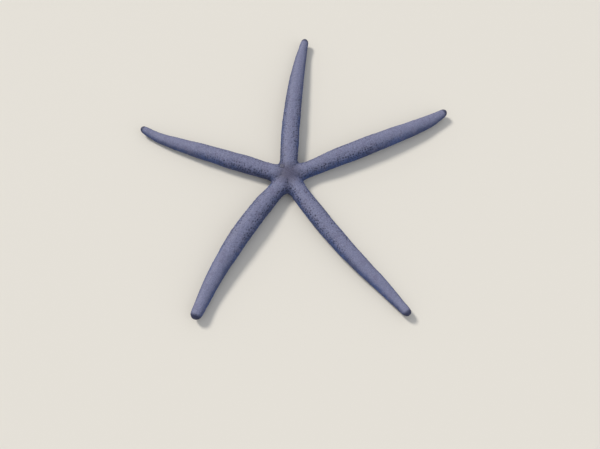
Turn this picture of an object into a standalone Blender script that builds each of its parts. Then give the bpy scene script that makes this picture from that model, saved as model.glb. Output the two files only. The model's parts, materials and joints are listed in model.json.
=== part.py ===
"""Blue sea star (Linckia laevigata), life size, lying on its underside.

The animal is modelled whole and parted with thin cuts: a small disc, five long
round arms, the terminal plate at each arm's tip, and the madreporite.
Carpenter's letters name the arms: seen from above they run a, b, c, d, e
anticlockwise, and the madreporite lies between arms c and d.

Units are metres with +Z up. The animal rests on the flat margins beside its
ambulacral grooves, at z = 0. The origin is the middle of the footprint's box.
"""
import math

import bmesh
import bpy
from mathutils import Matrix, Vector

MM = 0.001
GAP = 0.3 * MM                 # the thin cut between two sub-parts

# Arms. Heading is where the arm leaves the disc, anticlockwise from +X. Bow is
# the turn spread over its whole length, and hook the turn near its tip.
# The widths, in millimetres, run from the root over the belly to the tip.
ARMS = {
    "a": {"heading": -57.5, "bow": 15.5, "hook": -11.0, "length": 145.5,
          "widths": (14.6, 15.2, 14.1, 11.9, 8.8, 7.2)},
    "b": {"heading": 24.0, "bow": 0.5, "hook": 9.0, "length": 147.5,
          "widths": (13.2, 15.2, 15.5, 13.7, 10.3, 7.4)},
    "c": {"heading": 88.5, "bow": -9.0, "hook": -2.5, "length": 142.0,
          "widths": (14.6, 15.5, 14.6, 12.5, 9.2, 7.2)},
    "d": {"heading": 162.0, "bow": -3.5, "hook": -9.0, "length": 132.0,
          "widths": (13.8, 14.6, 13.7, 11.1, 8.2, 6.5)},
    "e": {"heading": 232.5, "bow": 17.5, "hook": 2.0, "length": 136.5,
          "widths": (13.8, 16.0, 15.8, 13.1, 10.4, 8.4)},
}
# Where those six widths lie, as shares of the arm
WIDTH_STATIONS = (0.13, 0.30, 0.50, 0.72, 0.90, 0.97)
HOOK_START = 0.72                           # share of the arm where the hook begins
ARM_ROOT = 18.0 * MM                        # an arm runs straight up to here, where the disc ends
RING_STEP = 5.0 * MM                        # spacing of the sections along an arm
TIP_PLATE_LENGTH = 4.8 * MM
TIP_LIFT = 2.6 * MM                         # how far an arm's tip turns up from the floor
LIFT_LENGTH = 17.0 * MM
TIP_DOME = 0.52                             # length of the arm's closing dome, as a share of its width
TIP_SECTIONS = (0.0, 0.22, 0.45, 0.66, 0.83, 0.95)   # sections of the terminal plate, as shares of its length

# Section of an arm, as shares of its width or height
HEIGHT_TO_WIDTH = 0.92
AXIS_HEIGHT = 0.46             # height of the widest line above the floor
GROOVE_HALF_WIDTH = 0.12
GROOVE_DEPTH = 0.20
FLANK_STEPS = 7                # facets from the ridge down to the flat margin

# Disc
SECTOR_STEPS = 5               # facets from an arm's root to the line between two arms
CROTCH_FILLET = 2.2 * MM       # how far the web between two arms stands out
UNDERSIDE_PULL = 0.24          # how far the web's lower edge draws back, as a share
MOUTH_RADIUS = 4.6 * MM
MOUTH_DEPTH = 2.2 * MM
THROAT_RADIUS = 2.2 * MM
THROAT_DEPTH = 5.2 * MM

# Madreporite, a round sieve plate set into the disc between arms c and d
MADREPORITE_RADIUS = 1.9 * MM
MADREPORITE_REACH = 8.6 * MM   # distance from the disc's centre
MADREPORITE_SINK = 0.9 * MM
MADREPORITE_CROWN = 0.45 * MM
SOCKET_TOP = 2.5 * MM          # how far the tool that cuts the plate's socket stands out of the skin
TURNED_SIDES = 24              # facets around the mouth and the sieve plate

SKIN_BLUE = (0.075, 0.105, 0.27, 1.0)
TIP_NAVY = (0.018, 0.026, 0.085, 1.0)
SIEVE_BLUE = (0.16, 0.18, 0.30, 1.0)


# ---------------------------------------------------------------- small helpers
def smooth(share):
    """Ease from 0 to 1 with flat ends."""
    share = min(max(share, 0.0), 1.0)
    return share * share * (3.0 - 2.0 * share)


def along_stations(share, stations, values):
    """A value on a smooth curve through its values at the stations."""
    share = min(max(share, stations[0]), stations[-1])
    last = len(stations) - 1
    index = max(number for number in range(last) if stations[number] <= share)

    def slope(number):
        before, after = max(number - 1, 0), min(number + 1, last)
        return (values[after] - values[before]) / (stations[after] - stations[before])

    span = stations[index + 1] - stations[index]
    part = (share - stations[index]) / span
    ease = smooth(part)
    return (values[index] * (1.0 - ease) + values[index + 1] * ease
            + slope(index) * span * part * (1.0 - part) ** 2
            - slope(index + 1) * span * part ** 2 * (1.0 - part))


def flat_direction(degrees):
    angle = math.radians(degrees)
    return Vector((math.cos(angle), math.sin(angle), 0.0))


def crossing(start, direction, other_start, other_direction):
    """Where two level lines cross; the height is the second line's."""
    spread = direction.x * other_direction.y - direction.y * other_direction.x
    offset = other_start - start
    reach = (offset.x * other_direction.y - offset.y * other_direction.x) / spread
    point = start + direction * reach
    point.z = other_start.z
    return point


# ---------------------------------------------------------------- an arm's form
def arm_heading(arm, reach):
    """Heading in degrees at a distance along the arm."""
    length = arm["length"] * MM
    bend = min(max((reach - ARM_ROOT) / (length - ARM_ROOT), 0.0), 1.0)
    hook = smooth((reach / length - HOOK_START) / (1.0 - HOOK_START))
    return arm["heading"] + arm["bow"] * bend + arm["hook"] * hook


def arm_point(arm, reach, step=0.5 * MM):
    """Centre line of the arm on the floor, walked in short steps from the disc's centre."""
    steps = max(1, round(reach / step))
    point = Vector((0.0, 0.0, 0.0))
    for index in range(steps):
        middle = (index + 0.5) * reach / steps
        point += flat_direction(arm_heading(arm, middle)) * (reach / steps)
    return point


def half_section(width, height):
    """Half of an arm's section, from the ridge down the flank to the groove's middle.

    Each point is (distance from the middle plane, height). The flank is an
    ellipse that meets the floor at the outer edge of the flat margin.
    """
    axis = AXIS_HEIGHT * height
    lowest = math.acos(-axis / (height - axis))
    points = []
    for index in range(FLANK_STEPS + 1):
        angle = lowest * index / FLANK_STEPS
        points.append((0.5 * width * math.sin(angle), axis + (height - axis) * math.cos(angle)))
    lip = GROOVE_HALF_WIDTH * width
    depth = GROOVE_DEPTH * height
    points.append((lip, 0.0))
    points.append((0.75 * lip, 0.8 * depth))
    points.append((0.0, depth))
    return points


def arm_ring(arm, reach):
    """One whole section of the arm: ridge, left flank, groove, right flank."""
    length = arm["length"] * MM
    share = reach / length
    width = along_stations(share, WIDTH_STATIONS, arm["widths"]) * MM
    height = width * HEIGHT_TO_WIDTH
    lift = TIP_LIFT * smooth((reach - length + LIFT_LENGTH) / LIFT_LENGTH)
    # the last stretch closes like the end of an egg
    dome = TIP_DOME * width
    closing = max(0.0, (reach - (length - dome)) / dome)
    size = math.sqrt(max(0.0, 1.0 - closing * closing))
    centre = arm_point(arm, reach)
    left = flat_direction(arm_heading(arm, reach) + 90.0)
    middle = 0.5 * height
    half = [(side * size, middle + (up - middle) * size + lift)
            for side, up in half_section(width, height)]
    whole = half + [(-side, up) for side, up in reversed(half[1:-1])]
    return [centre + left * side + Vector((0.0, 0.0, up)) for side, up in whole]


def arm_rings(arm, start, end):
    """Evenly spaced sections between two distances along the arm."""
    count = max(2, round((end - start) / RING_STEP))
    return [arm_ring(arm, start + (end - start) * index / count) for index in range(count + 1)]


# ---------------------------------------------------------------- making objects
def new_object(name, mesh, colour, roughness):
    material = bpy.data.materials.new(name + "_finish")
    material.use_nodes = True
    shader = material.node_tree.nodes["Principled BSDF"]
    shader.inputs["Base Color"].default_value = colour
    shader.inputs["Roughness"].default_value = roughness
    shader.inputs["Metallic"].default_value = 0.0
    mesh.materials.append(material)
    item = bpy.data.objects.new(name, mesh)
    bpy.context.scene.collection.objects.link(item)
    mesh.shade_smooth()
    mesh.set_sharp_from_angle(angle=math.radians(50.0))
    return item


def mesh_from(bm, name):
    bmesh.ops.recalc_face_normals(bm, faces=bm.faces)
    mesh = bpy.data.meshes.new(name)
    bm.to_mesh(mesh)
    bm.free()
    return mesh


def bridge_rings(bm, rings):
    """Joins a run of sections, each a list of points, and closes both ends."""
    loops = [[bm.verts.new(point) for point in ring] for ring in rings]
    for near, far in zip(loops, loops[1:]):
        for index in range(len(near)):
            after = (index + 1) % len(near)
            bm.faces.new((near[index], near[after], far[after], far[index]))
    bm.faces.new(loops[0])
    bm.faces.new(loops[-1])


def bridge_levels(bm, levels):
    """A turned solid about +Z through (height, radius) levels."""
    turns = [flat_direction(360.0 * turn / TURNED_SIDES) for turn in range(TURNED_SIDES)]
    bridge_rings(bm, [[turn * radius + Vector((0.0, 0.0, up)) for turn in turns] for up, radius in levels])


def tube_object(name, rings, colour, roughness):
    """A closed solid through a run of sections, with flat ends."""
    bm = bmesh.new()
    bridge_rings(bm, rings)
    return new_object(name, mesh_from(bm, name), colour, roughness)


def cutter_object(name, bm):
    cutter = bpy.data.objects.new(name, mesh_from(bm, name))
    bpy.context.scene.collection.objects.link(cutter)
    cutter.hide_render = True
    cutter.display_type = "WIRE"
    return cutter


def cut(item, cutter):
    step = item.modifiers.new(cutter.name, "BOOLEAN")
    step.operation = "DIFFERENCE"
    step.object = cutter


# ---------------------------------------------------------------- the disc
def web_line(left_arm, right_arm):
    """The disc's section on the line half-way between two arms.

    left_arm is the one further anticlockwise. The list runs like half_section:
    from the disc's middle over the top, down the web and back underneath.
    """
    spread = (left_arm["heading"] - right_arm["heading"]) % 360.0
    outwards = flat_direction(right_arm["heading"] + 0.5 * spread)
    slope = math.sin(math.radians(0.5 * spread))
    width = 0.5 * (left_arm["widths"][0] + right_arm["widths"][0]) * MM
    height = width * HEIGHT_TO_WIDTH
    reach = CROTCH_FILLET + 0.5 * width / slope
    half = half_section(width, height)
    widest = 0.5 * width
    points = []
    for index, (side, up) in enumerate(half):
        across = side / widest
        if index > FLANK_STEPS:
            distance = side / slope
        elif up < AXIS_HEIGHT * height:
            drawn = (1.0 - across) / (1.0 - half[FLANK_STEPS][0] / widest)
            distance = reach * (1.0 - UNDERSIDE_PULL * drawn)
        else:
            distance = reach * across
        points.append(outwards * distance + Vector((0.0, 0.0, up)))
    return points


def sector_line(root_point, web_point, arm, web_direction):
    """Points from an arm's root to the web, leaving along the arm and arriving square to the web."""
    along = flat_direction(arm["heading"])
    if Vector((web_point.x, web_point.y)).length < 0.1 * MM:
        corner = root_point.lerp(web_point, 0.5)
    else:
        square = Vector((-web_direction.y, web_direction.x, 0.0))
        corner = crossing(root_point, along, web_point, square)
    line = []
    for index in range(SECTOR_STEPS + 1):
        share = index / SECTOR_STEPS
        point = root_point * (1 - share) ** 2 + corner * 2 * share * (1 - share) + web_point * share ** 2
        point.z = root_point.z + (web_point.z - root_point.z) * smooth(share)
        line.append(point)
    return line


def disc_height():
    """The disc's middle stands as high as the thickest arm's root."""
    return max(arm["widths"][0] for arm in ARMS.values()) * HEIGHT_TO_WIDTH * MM


def disc_object():
    """The disc: ten half sectors, each a net between an arm's root and a web."""
    bm = bmesh.new()
    letters = sorted(ARMS, key=lambda letter: ARMS[letter]["heading"] % 360.0)
    apex = disc_height()
    for number, letter in enumerate(letters):
        arm = ARMS[letter]
        following = ARMS[letters[(number + 1) % len(letters)]]
        preceding = ARMS[letters[number - 1]]
        ring = arm_ring(arm, ARM_ROOT)
        half_count = len(ring) // 2
        halves = (
            (ring[: half_count + 1], web_line(following, arm)),
            ([ring[0]] + ring[: half_count - 1: -1], web_line(arm, preceding)),
        )
        for root_half, web in halves:
            web[0].z = apex
            web[-1].z = GROOVE_DEPTH * apex
            outwards = (web[FLANK_STEPS] - web[0]).normalized()
            net = [sector_line(root, far, arm, outwards) for root, far in zip(root_half, web)]
            grid = [[bm.verts.new(point) for point in line] for line in net]
            for line, after in zip(grid, grid[1:]):
                for index in range(SECTOR_STEPS):
                    bm.faces.new((line[index], line[index + 1], after[index + 1], after[index]))
    bmesh.ops.remove_doubles(bm, verts=bm.verts, dist=0.005 * MM)
    bmesh.ops.holes_fill(bm, edges=[edge for edge in bm.edges if edge.is_boundary], sides=0)
    return new_object("disc", mesh_from(bm, "disc"), SKIN_BLUE, 0.6)


def mouth_cutter():
    """The mouth: a shallow round recess with a narrower throat, cut up into the disc."""
    bm = bmesh.new()
    levels = ((-2.0 * MM, MOUTH_RADIUS), (MOUTH_DEPTH, MOUTH_RADIUS * 0.8),
              (MOUTH_DEPTH, THROAT_RADIUS), (THROAT_DEPTH, THROAT_RADIUS * 0.7))
    bridge_levels(bm, levels)
    return cutter_object("mouth_cutter", bm)


# ---------------------------------------------------------------- the madreporite
def madreporite_frame():
    """A matrix on the disc's upper surface: its Z is the surface's normal."""
    web = web_line(ARMS["d"], ARMS["c"])
    web[0].z = disc_height()
    for near, far in zip(web, web[1:]):
        near_reach = Vector((near.x, near.y)).length
        far_reach = Vector((far.x, far.y)).length
        if near_reach <= MADREPORITE_REACH <= far_reach:
            share = (MADREPORITE_REACH - near_reach) / (far_reach - near_reach)
            break
    slope = (far - near).normalized()
    outwards = Vector((far.x, far.y, 0.0)).normalized()
    across = Vector((0.0, 0.0, 1.0)).cross(outwards).normalized()
    normal = slope.cross(across).normalized()
    turn = Matrix((slope, across, normal)).transposed().to_4x4()
    return Matrix.Translation(near.lerp(far, share)) @ turn


def plate_mesh(radius, low, high, crown):
    """A round plate; its top rises by crown towards the middle."""
    bm = bmesh.new()
    bridge_levels(bm, ((low, radius), (high, radius),
                       (high + 0.7 * crown, 0.72 * radius), (high + crown, 0.36 * radius)))
    return bm


def madreporite_object(place):
    bm = plate_mesh(MADREPORITE_RADIUS, GAP - MADREPORITE_SINK, 0.0, MADREPORITE_CROWN)
    bmesh.ops.transform(bm, matrix=place, verts=bm.verts)
    return new_object("madreporite", mesh_from(bm, "madreporite"), SIEVE_BLUE, 0.7)


def socket_cutter(place):
    bm = plate_mesh(MADREPORITE_RADIUS + GAP, -MADREPORITE_SINK, SOCKET_TOP, MADREPORITE_CROWN)
    bmesh.ops.transform(bm, matrix=place, verts=bm.verts)
    return cutter_object("socket_cutter", bm)


# ---------------------------------------------------------------- the whole animal
def centre_footprint(items):
    """Moves every mesh so that the origin is the middle of the footprint's box."""
    corners = [vertex.co for item in items for vertex in item.data.vertices]
    middle_x = 0.5 * (min(corner.x for corner in corners) + max(corner.x for corner in corners))
    middle_y = 0.5 * (min(corner.y for corner in corners) + max(corner.y for corner in corners))
    for item in items:
        item.data.transform(Matrix.Translation((-middle_x, -middle_y, 0.0)))
    return middle_x, middle_y


def build():
    for item in list(bpy.data.objects):
        bpy.data.objects.remove(item, do_unlink=True)
    disc = disc_object()
    sieve_place = madreporite_frame()
    cutters = [mouth_cutter(), socket_cutter(sieve_place)]
    for cutter in cutters:
        cut(disc, cutter)
    items = [disc, madreporite_object(sieve_place)] + cutters
    for letter, arm in ARMS.items():
        length = arm["length"] * MM
        plate_start = length - TIP_PLATE_LENGTH
        rings = arm_rings(arm, ARM_ROOT + GAP, plate_start - GAP)
        items.append(tube_object("arm_" + letter, rings, SKIN_BLUE, 0.6))
        rings = [arm_ring(arm, plate_start + TIP_PLATE_LENGTH * share) for share in TIP_SECTIONS]
        items.append(tube_object("tip_" + letter, rings, TIP_NAVY, 0.5))
    middle = centre_footprint(items)
    print("the disc's centre is at x %.2f mm, y %.2f mm" % (-middle[0] / MM, -middle[1] / MM))


build()
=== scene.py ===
# %% [markdown]
# # A blue sea star, life size
#
# This lesson dresses the measured solids of a sea star: five long round arms, a small disc, the hard plate
# at each arm's tip and the sieve plate on the back. The solids are the frame. They hold every size and
# place, so each new piece is grown from them and nothing is fitted by eye. Lengths are metres and +Z is up.

# %% Load the frame
import json
import math
from contextlib import contextmanager

import bmesh
import bpy
import numpy as np
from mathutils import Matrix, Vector
from mathutils.kdtree import KDTree

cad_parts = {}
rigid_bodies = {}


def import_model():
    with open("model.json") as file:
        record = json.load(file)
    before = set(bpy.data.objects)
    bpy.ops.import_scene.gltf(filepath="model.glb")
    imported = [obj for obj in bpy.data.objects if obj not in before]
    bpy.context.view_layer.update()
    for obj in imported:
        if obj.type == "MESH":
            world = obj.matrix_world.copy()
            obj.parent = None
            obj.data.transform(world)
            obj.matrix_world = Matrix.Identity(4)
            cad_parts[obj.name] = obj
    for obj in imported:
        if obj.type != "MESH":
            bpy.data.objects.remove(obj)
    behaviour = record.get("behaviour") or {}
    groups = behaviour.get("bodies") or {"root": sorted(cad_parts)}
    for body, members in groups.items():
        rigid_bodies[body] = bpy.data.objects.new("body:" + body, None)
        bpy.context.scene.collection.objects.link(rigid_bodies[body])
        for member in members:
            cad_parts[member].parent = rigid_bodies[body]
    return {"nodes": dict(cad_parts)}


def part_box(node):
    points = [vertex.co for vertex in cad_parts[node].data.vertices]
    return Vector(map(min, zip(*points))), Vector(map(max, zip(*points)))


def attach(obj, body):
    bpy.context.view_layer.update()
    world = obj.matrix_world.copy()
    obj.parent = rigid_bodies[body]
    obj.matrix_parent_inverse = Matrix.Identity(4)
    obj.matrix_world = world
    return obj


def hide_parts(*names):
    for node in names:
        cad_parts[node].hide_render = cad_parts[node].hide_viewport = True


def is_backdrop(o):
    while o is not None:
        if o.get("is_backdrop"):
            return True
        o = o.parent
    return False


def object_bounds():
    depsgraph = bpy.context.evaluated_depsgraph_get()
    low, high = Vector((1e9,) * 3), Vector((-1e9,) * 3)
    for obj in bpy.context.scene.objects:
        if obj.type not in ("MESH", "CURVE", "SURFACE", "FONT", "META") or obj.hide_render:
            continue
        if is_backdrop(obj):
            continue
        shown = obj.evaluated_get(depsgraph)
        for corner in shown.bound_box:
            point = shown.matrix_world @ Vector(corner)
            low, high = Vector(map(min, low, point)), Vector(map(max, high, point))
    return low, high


MM = 0.001
LETTERS = "abcde"
FLESH = ["disc"] + ["arm_" + letter for letter in LETTERS]
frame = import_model()
solid_bounds = [list(corner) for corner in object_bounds()]
print("the solids' box:", [[round(value / MM, 1) for value in corner] for corner in solid_bounds], "mm")

# %% [markdown]
# ## Small helpers
#
# Operators act on whatever is selected, and the frame arrives selected, so every step first picks exactly
# one object. Moving many points at once is quickest through numpy: read all of them, change them, write back.


# %% Select and edit
def pick(item):
    """Makes one object the only selected one and the active one."""
    bpy.ops.object.select_all(action="DESELECT")
    item.select_set(True)
    bpy.context.view_layer.objects.active = item


@contextmanager
def editing(item, action="SELECT"):
    """Edit mode for one object, with all of it selected, or with "DESELECT" nothing."""
    pick(item)
    bpy.ops.object.mode_set(mode="EDIT")
    bpy.ops.mesh.select_all(action=action)
    yield
    bpy.ops.object.mode_set(mode="OBJECT")


def select_faces(item, wanted):
    """In edit mode, selects the faces that pass a test and no others."""
    net = bmesh.from_edit_mesh(item.data)
    for face in net.faces:
        face.select_set(wanted(face))
    bmesh.update_edit_mesh(item.data)


def apply_modifier(item, kind, **settings):
    """Adds one modifier, sets it and applies it."""
    pick(item)
    step = item.modifiers.new(kind.lower(), kind)
    for name, value in settings.items():
        setattr(step, name, value)
    bpy.ops.object.modifier_apply(modifier=step.name)


def new_object(name, data):
    item = bpy.data.objects.new(name, data)
    bpy.context.scene.collection.objects.link(item)
    return item


def just_added(name):
    """The primitive just added, named, with its place and size moved into its mesh."""
    bpy.ops.object.transform_apply(location=True, scale=True)
    item = bpy.context.object
    item.name = name
    return item


# %% Points and numbers
def read_rows(parts, what, columns=3, kind=float):
    """Reads the same few numbers from every vertex, triangle or loop of a mesh."""
    flat = np.empty(len(parts) * columns, kind)
    parts.foreach_get(what, flat)
    return flat.reshape(-1, columns)


def points_of(item):
    return read_rows(item.data.vertices, "co")


def normals_of(item):
    return read_rows(item.data.vertices, "normal")


def move_points(item, points):
    item.data.vertices.foreach_set("co", points.ravel())
    item.data.update()


def unit(vectors):
    """The same directions, each one metre long."""
    return vectors / np.linalg.norm(vectors, axis=-1, keepdims=True)


def ease(values):
    """From 0 to 1 with flat ends, for numbers or arrays."""
    share = np.clip(values, 0.0, 1.0)
    return share * share * (3.0 - 2.0 * share)


def tree_of(points):
    """A search tree that gives the number of each point it finds."""
    tree = KDTree(len(points))
    for number, point in enumerate(points):
        tree.insert(point, number)
    tree.balance()
    return tree


def nearest_in(tree, points):
    """For each point, the number of the nearest one in a tree, and how far off that is."""
    found = np.array([tree.find(point)[1:] for point in points])
    return found[:, 0].astype(int), found[:, 1]


# %% Print and finish pieces
def tell(item):
    """Prints what a piece measures."""
    size = np.ptp(points_of(item), axis=0) / MM
    triangles = sum(len(face.vertices) - 2 for face in item.data.polygons)
    print("%s: %d triangles, %.1f x %.1f x %.1f mm" % (item.name, triangles, *size))


def hand_in(item, finish, slot_name, *nodes):
    """Finishes a piece: its material, the body it rides on and the solids it stands for, which are hidden;
    the slot name is not used.
    """
    item.data.shade_smooth()
    item.data.materials.append(finish)
    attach(item, "root")
    if nodes:
        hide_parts(*nodes)
    tell(item)


# %% [markdown]
# ## Measure the arms
#
# A sea star's body is easiest to think of along its arms: how far from the centre, and how far round the
# arm. Each section of an arm has its ridge point exactly above its groove point, so pairs of corners that
# lie one above the other give the centre line. The lines of the five arm roots meet at the disc's centre.

# %% Centre lines from the solids
SAME_PLACE = 0.005 * MM        # corners this close in x and y lie one above the other
THINNEST = 2.0 * MM            # every section of an arm is higher than this


def middle_points(node, start):
    """Level places where two corners of a node lie one above the other, from a start outwards."""
    corners = np.unique(np.round(points_of(frame["nodes"][node]), 6), axis=0)
    level = np.abs(corners[:, None, :2] - corners[None, :, :2]).max(axis=2) < SAME_PLACE
    apart = np.abs(corners[:, None, 2] - corners[None, :, 2]) > THINNEST
    found = np.unique(np.round(corners[(level & apart).any(axis=1)][:, :2], 5), axis=0)
    return found[np.argsort(np.linalg.norm(found - start, axis=1))]


disc_low, disc_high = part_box("disc")
disc_middle = np.array((disc_low + disc_high)[:2]) / 2.0
pairs = [middle_points("arm_" + letter, disc_middle)[:2] for letter in LETTERS]
courses = [unit(second - first) for first, second in pairs]
across = [np.eye(2) - np.outer(along, along) for along in courses]
centre = np.linalg.solve(sum(across), sum(each @ first for each, (first, _) in zip(across, pairs)))
print("the disc's centre is at %.2f, %.2f mm" % tuple(centre / MM))

# %% Sections along each arm
ARM_REACH = 12.0 * MM          # no corner of a section is further than this from its middle
SECTION_SLACK = 0.5 * MM       # and none is further out of its plane
FINE_STEP = 0.5 * MM


def measure_arm(letter):
    """The arm's centre line from the disc's centre to its tip, with its width, foot and top."""
    nodes = ("arm_" + letter, "tip_" + letter)
    arm_line, tip_line = (middle_points(node, centre) for node in nodes)
    arm_corners, tip_corners = (points_of(frame["nodes"][node]) for node in nodes)
    corners = np.vstack((arm_corners, tip_corners))
    line = np.vstack((arm_line, tip_line))
    course = unit(np.gradient(line, axis=0))
    sections = []
    for place, along in zip(line, course):
        away = corners[:, :2] - place
        near = (np.abs(away @ along) < SECTION_SLACK) & (np.abs(away).max(axis=1) < ARM_REACH)
        half_width = np.abs(away[near] @ np.array((-along[1], along[0]))).max()
        sections.append((2.0 * half_width, corners[near, 2].min(), corners[near, 2].max()))
    line = np.vstack((centre, line))
    reach = np.concatenate(([0.0], np.cumsum(np.linalg.norm(np.diff(line, axis=0), axis=1))))
    length = reach[-1] + ((tip_corners[:, :2] - line[-1]) @ course[-1]).max()
    fine = np.arange(0.0, length, FINE_STEP)
    beyond = np.vstack((line, line[-1] + course[-1] * (length - reach[-1] + MM)))
    stations = np.append(reach, length + MM)
    fine_line = np.stack([np.interp(fine, stations, beyond[:, axis]) for axis in (0, 1)], axis=1)
    width, foot, top = (np.interp(fine, reach[1:], values) for values in zip(*sections))
    return {"arm_line": arm_line, "tip_line": tip_line, "length": length, "fine": fine, "line": fine_line,
            "course": unit(np.gradient(fine_line, axis=0)), "width": width, "foot": foot, "top": top}


def width_at(arm, at):
    return np.interp(at, arm["fine"], arm["width"])


arms = {letter: measure_arm(letter) for letter in LETTERS}
lengths = np.array([arm["length"] for arm in arms.values()])
halfway = np.array([width_at(arm, arm["length"] / 2.0) for arm in arms.values()])
print("lengths", (lengths / MM).round(1), "mm, widths halfway", (halfway / MM).round(1), "mm")

# %% [markdown]
# ## Camera, floor and light
#
# The camera looks down steeply, 65 degrees below the level, from half a metre. The light is a plain soft
# studio light from the far left with a weak fill, so that the left and far flanks of the arms are bright
# and the pores throw small shadows.

# %% Camera
LOOK_DOWN = math.radians(65.0)
CAMERA_DISTANCE = 483.7 * MM
AIM_OFFSET = Vector((9.5 * MM, -39.5 * MM, 0.0))

aim = Vector((*centre, 0.0)) + AIM_OFFSET
camera_data = bpy.data.cameras.new("camera")
camera_data.sensor_width = 36.0
camera_data.lens = 37.0
camera_data.clip_start = 0.01
camera = new_object("camera", camera_data)
camera.location = aim + CAMERA_DISTANCE * Vector((0.0, -math.cos(LOOK_DOWN), math.sin(LOOK_DOWN)))
camera.rotation_euler = (math.pi / 2.0 - LOOK_DOWN, 0.0, 0.0)
bpy.context.scene.camera = camera
print("camera at", [round(value / MM, 1) for value in camera.location], "mm")


# %% Floor and light
def start_finish(name, roughness, specular):
    """A new material with its node tree and its shader's sockets."""
    finish = bpy.data.materials.new(name)
    finish.use_nodes = True
    shader = finish.node_tree.nodes["Principled BSDF"].inputs
    shader["Roughness"].default_value = roughness
    shader["Specular IOR Level"].default_value = specular
    return finish, finish.node_tree, shader


def distant_light(name, place, spread_angle, strength, colour):
    """An even light from far away in the direction of a place; a wide angle gives soft shadows."""
    data = bpy.data.lights.new(name, "SUN")
    data.angle = math.radians(spread_angle)
    data.energy = strength
    data.color = colour
    light = new_object(name, data)
    light.location = place
    light.rotation_euler = (-Vector(place)).to_track_quat("-Z", "Y").to_euler()


FLOOR_CREAM = (0.66, 0.63, 0.57, 1.0)
bpy.ops.object.select_all(action="DESELECT")
bpy.ops.mesh.primitive_plane_add(size=60.0)
floor_plane = just_added("floor")
floor_finish, _, floor_shader = start_finish("floor_finish", 0.9, 0.2)
floor_shader["Base Color"].default_value = FLOOR_CREAM
floor_plane.data.materials.append(floor_finish)
floor_plane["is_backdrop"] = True

distant_light("key", (-1.8, 1.49, 2.28), spread_angle=14.0, strength=2.55, colour=(1.0, 0.965, 0.90))
distant_light("fill", (1.8, -1.4, 1.2), spread_angle=60.0, strength=0.55, colour=(0.85, 0.92, 1.0))
world = bpy.data.worlds.new("studio")
world.use_nodes = True
sky = world.node_tree.nodes["Background"].inputs
sky["Color"].default_value = (0.90, 0.93, 1.0, 1.0)
sky["Strength"].default_value = 0.60
bpy.context.scene.world = world
bpy.context.scene.view_settings.view_transform = "Standard"
print("floor, two lights and a pale sky")

# %% [markdown]
# ## Colours and finishes
#
# Every finish is a Principled BSDF fed by small shared node groups. The skin's marks are stored on the mesh
# as attributes (how deep in a pore field a point lies, how near the ridge, how far along the arm, how far
# underneath), so the skin and the granules that stand on it always agree.


# %% Node helpers
def feed(socket, value):
    """Links another node's socket, or sets a value."""
    if isinstance(value, bpy.types.NodeSocket):
        socket.id_data.links.new(value, socket)
    else:
        socket.default_value = value


def add_node(tree, kind, settings, *values, **inputs):
    """Adds a shader node. Its inputs come in order or by name, as values or as other nodes' sockets."""
    node = tree.nodes.new("ShaderNode" + kind)
    for name, value in settings.items():
        setattr(node, name, value)
    for socket, value in zip(node.inputs, values):
        feed(socket, value)
    for name, value in inputs.items():
        feed(node.inputs[name], value)
    return node


def mix_colours(tree, share, first, second, how="MIX"):
    """Goes from the first colour to the second as share goes from 0 to 1."""
    node = add_node(tree, "Mix", {"data_type": "RGBA", "blend_type": how}, share)
    for socket, value in zip((each for each in node.inputs if each.type == "RGBA"), (first, second)):
        feed(socket, value)
    return next(socket for socket in node.outputs if socket.type == "RGBA")


def calculate(tree, how, *values):
    return add_node(tree, "Math", {"operation": how}, *values).outputs["Value"]


def spread(tree, value, low, high, to_low=0.0, to_high=1.0):
    """Maps a range of values smoothly to another range."""
    return add_node(tree, "MapRange", {"interpolation_type": "SMOOTHSTEP"},
                    value, low, high, to_low, to_high).outputs["Result"]


def object_place(tree):
    return add_node(tree, "TexCoord", {}).outputs["Object"]


def cloudy(tree, scale, detail, rough=0.5):
    """A soft random pattern that stays with the object, from 0 to 1."""
    noise = add_node(tree, "TexNoise", {}, object_place(tree), Scale=scale, Detail=detail, Roughness=rough)
    return noise.outputs["Fac"]


def cells(tree, scale, feature="F1"):
    """Small rounded cells: the distance from the middle of each."""
    cell = add_node(tree, "TexVoronoi", {"feature": feature}, object_place(tree), Scale=scale)
    return cell.outputs["Distance"]


def new_group(name, inputs, outputs):
    """A shader node group: inputs map a name to its default value, outputs map a name to its kind."""
    tree = bpy.data.node_groups.new(name, "ShaderNodeTree")
    for label, default in inputs.items():
        socket = tree.interface.new_socket(label, in_out="INPUT", socket_type="NodeSocketFloat")
        socket.default_value = default
    for label, kind in outputs.items():
        tree.interface.new_socket(label, in_out="OUTPUT", socket_type="NodeSocket" + kind)
    return tree, tree.nodes.new("NodeGroupInput").outputs, tree.nodes.new("NodeGroupOutput").inputs


# %% [markdown]
# The blue of this animal is no single blue. It is a greyed lavender on the ridges, which is painted light,
# and a deeper and cleaner blue on the flanks, whose depth is painted shade; near black violet in the pore
# fields, a little brown in the middle of the disc, dark navy at the tips and pale underneath. One group mixes
# all of that, and skin, granules, plates and spines share it.

# %% The colour group
# The ridge lavender is painted light on the tops of the arms; the flank blue below it is painted shade.
RIDGE_PAINTED_LIGHT_LAVENDER = (0.200, 0.209, 0.320, 1.0)
FLANK_PAINTED_SHADE_BLUE = (0.052, 0.070, 0.162, 1.0)
CLEAN_BLUE = (0.050, 0.084, 0.220, 1.0)
DUSTY_VIOLET = (0.146, 0.138, 0.224, 1.0)
PORE_NAVY = (0.016, 0.019, 0.052, 1.0)
CENTRE_BROWN = (0.070, 0.064, 0.108, 1.0)
TIP_NAVY = (0.016, 0.021, 0.062, 1.0)
UNDER_PALE = (0.300, 0.300, 0.410, 1.0)
MARKS = {"Pore": 0.0, "Ridge": 0.5, "Reach": 0.5, "Under": 0.0, "Tint": 0.5}


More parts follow.
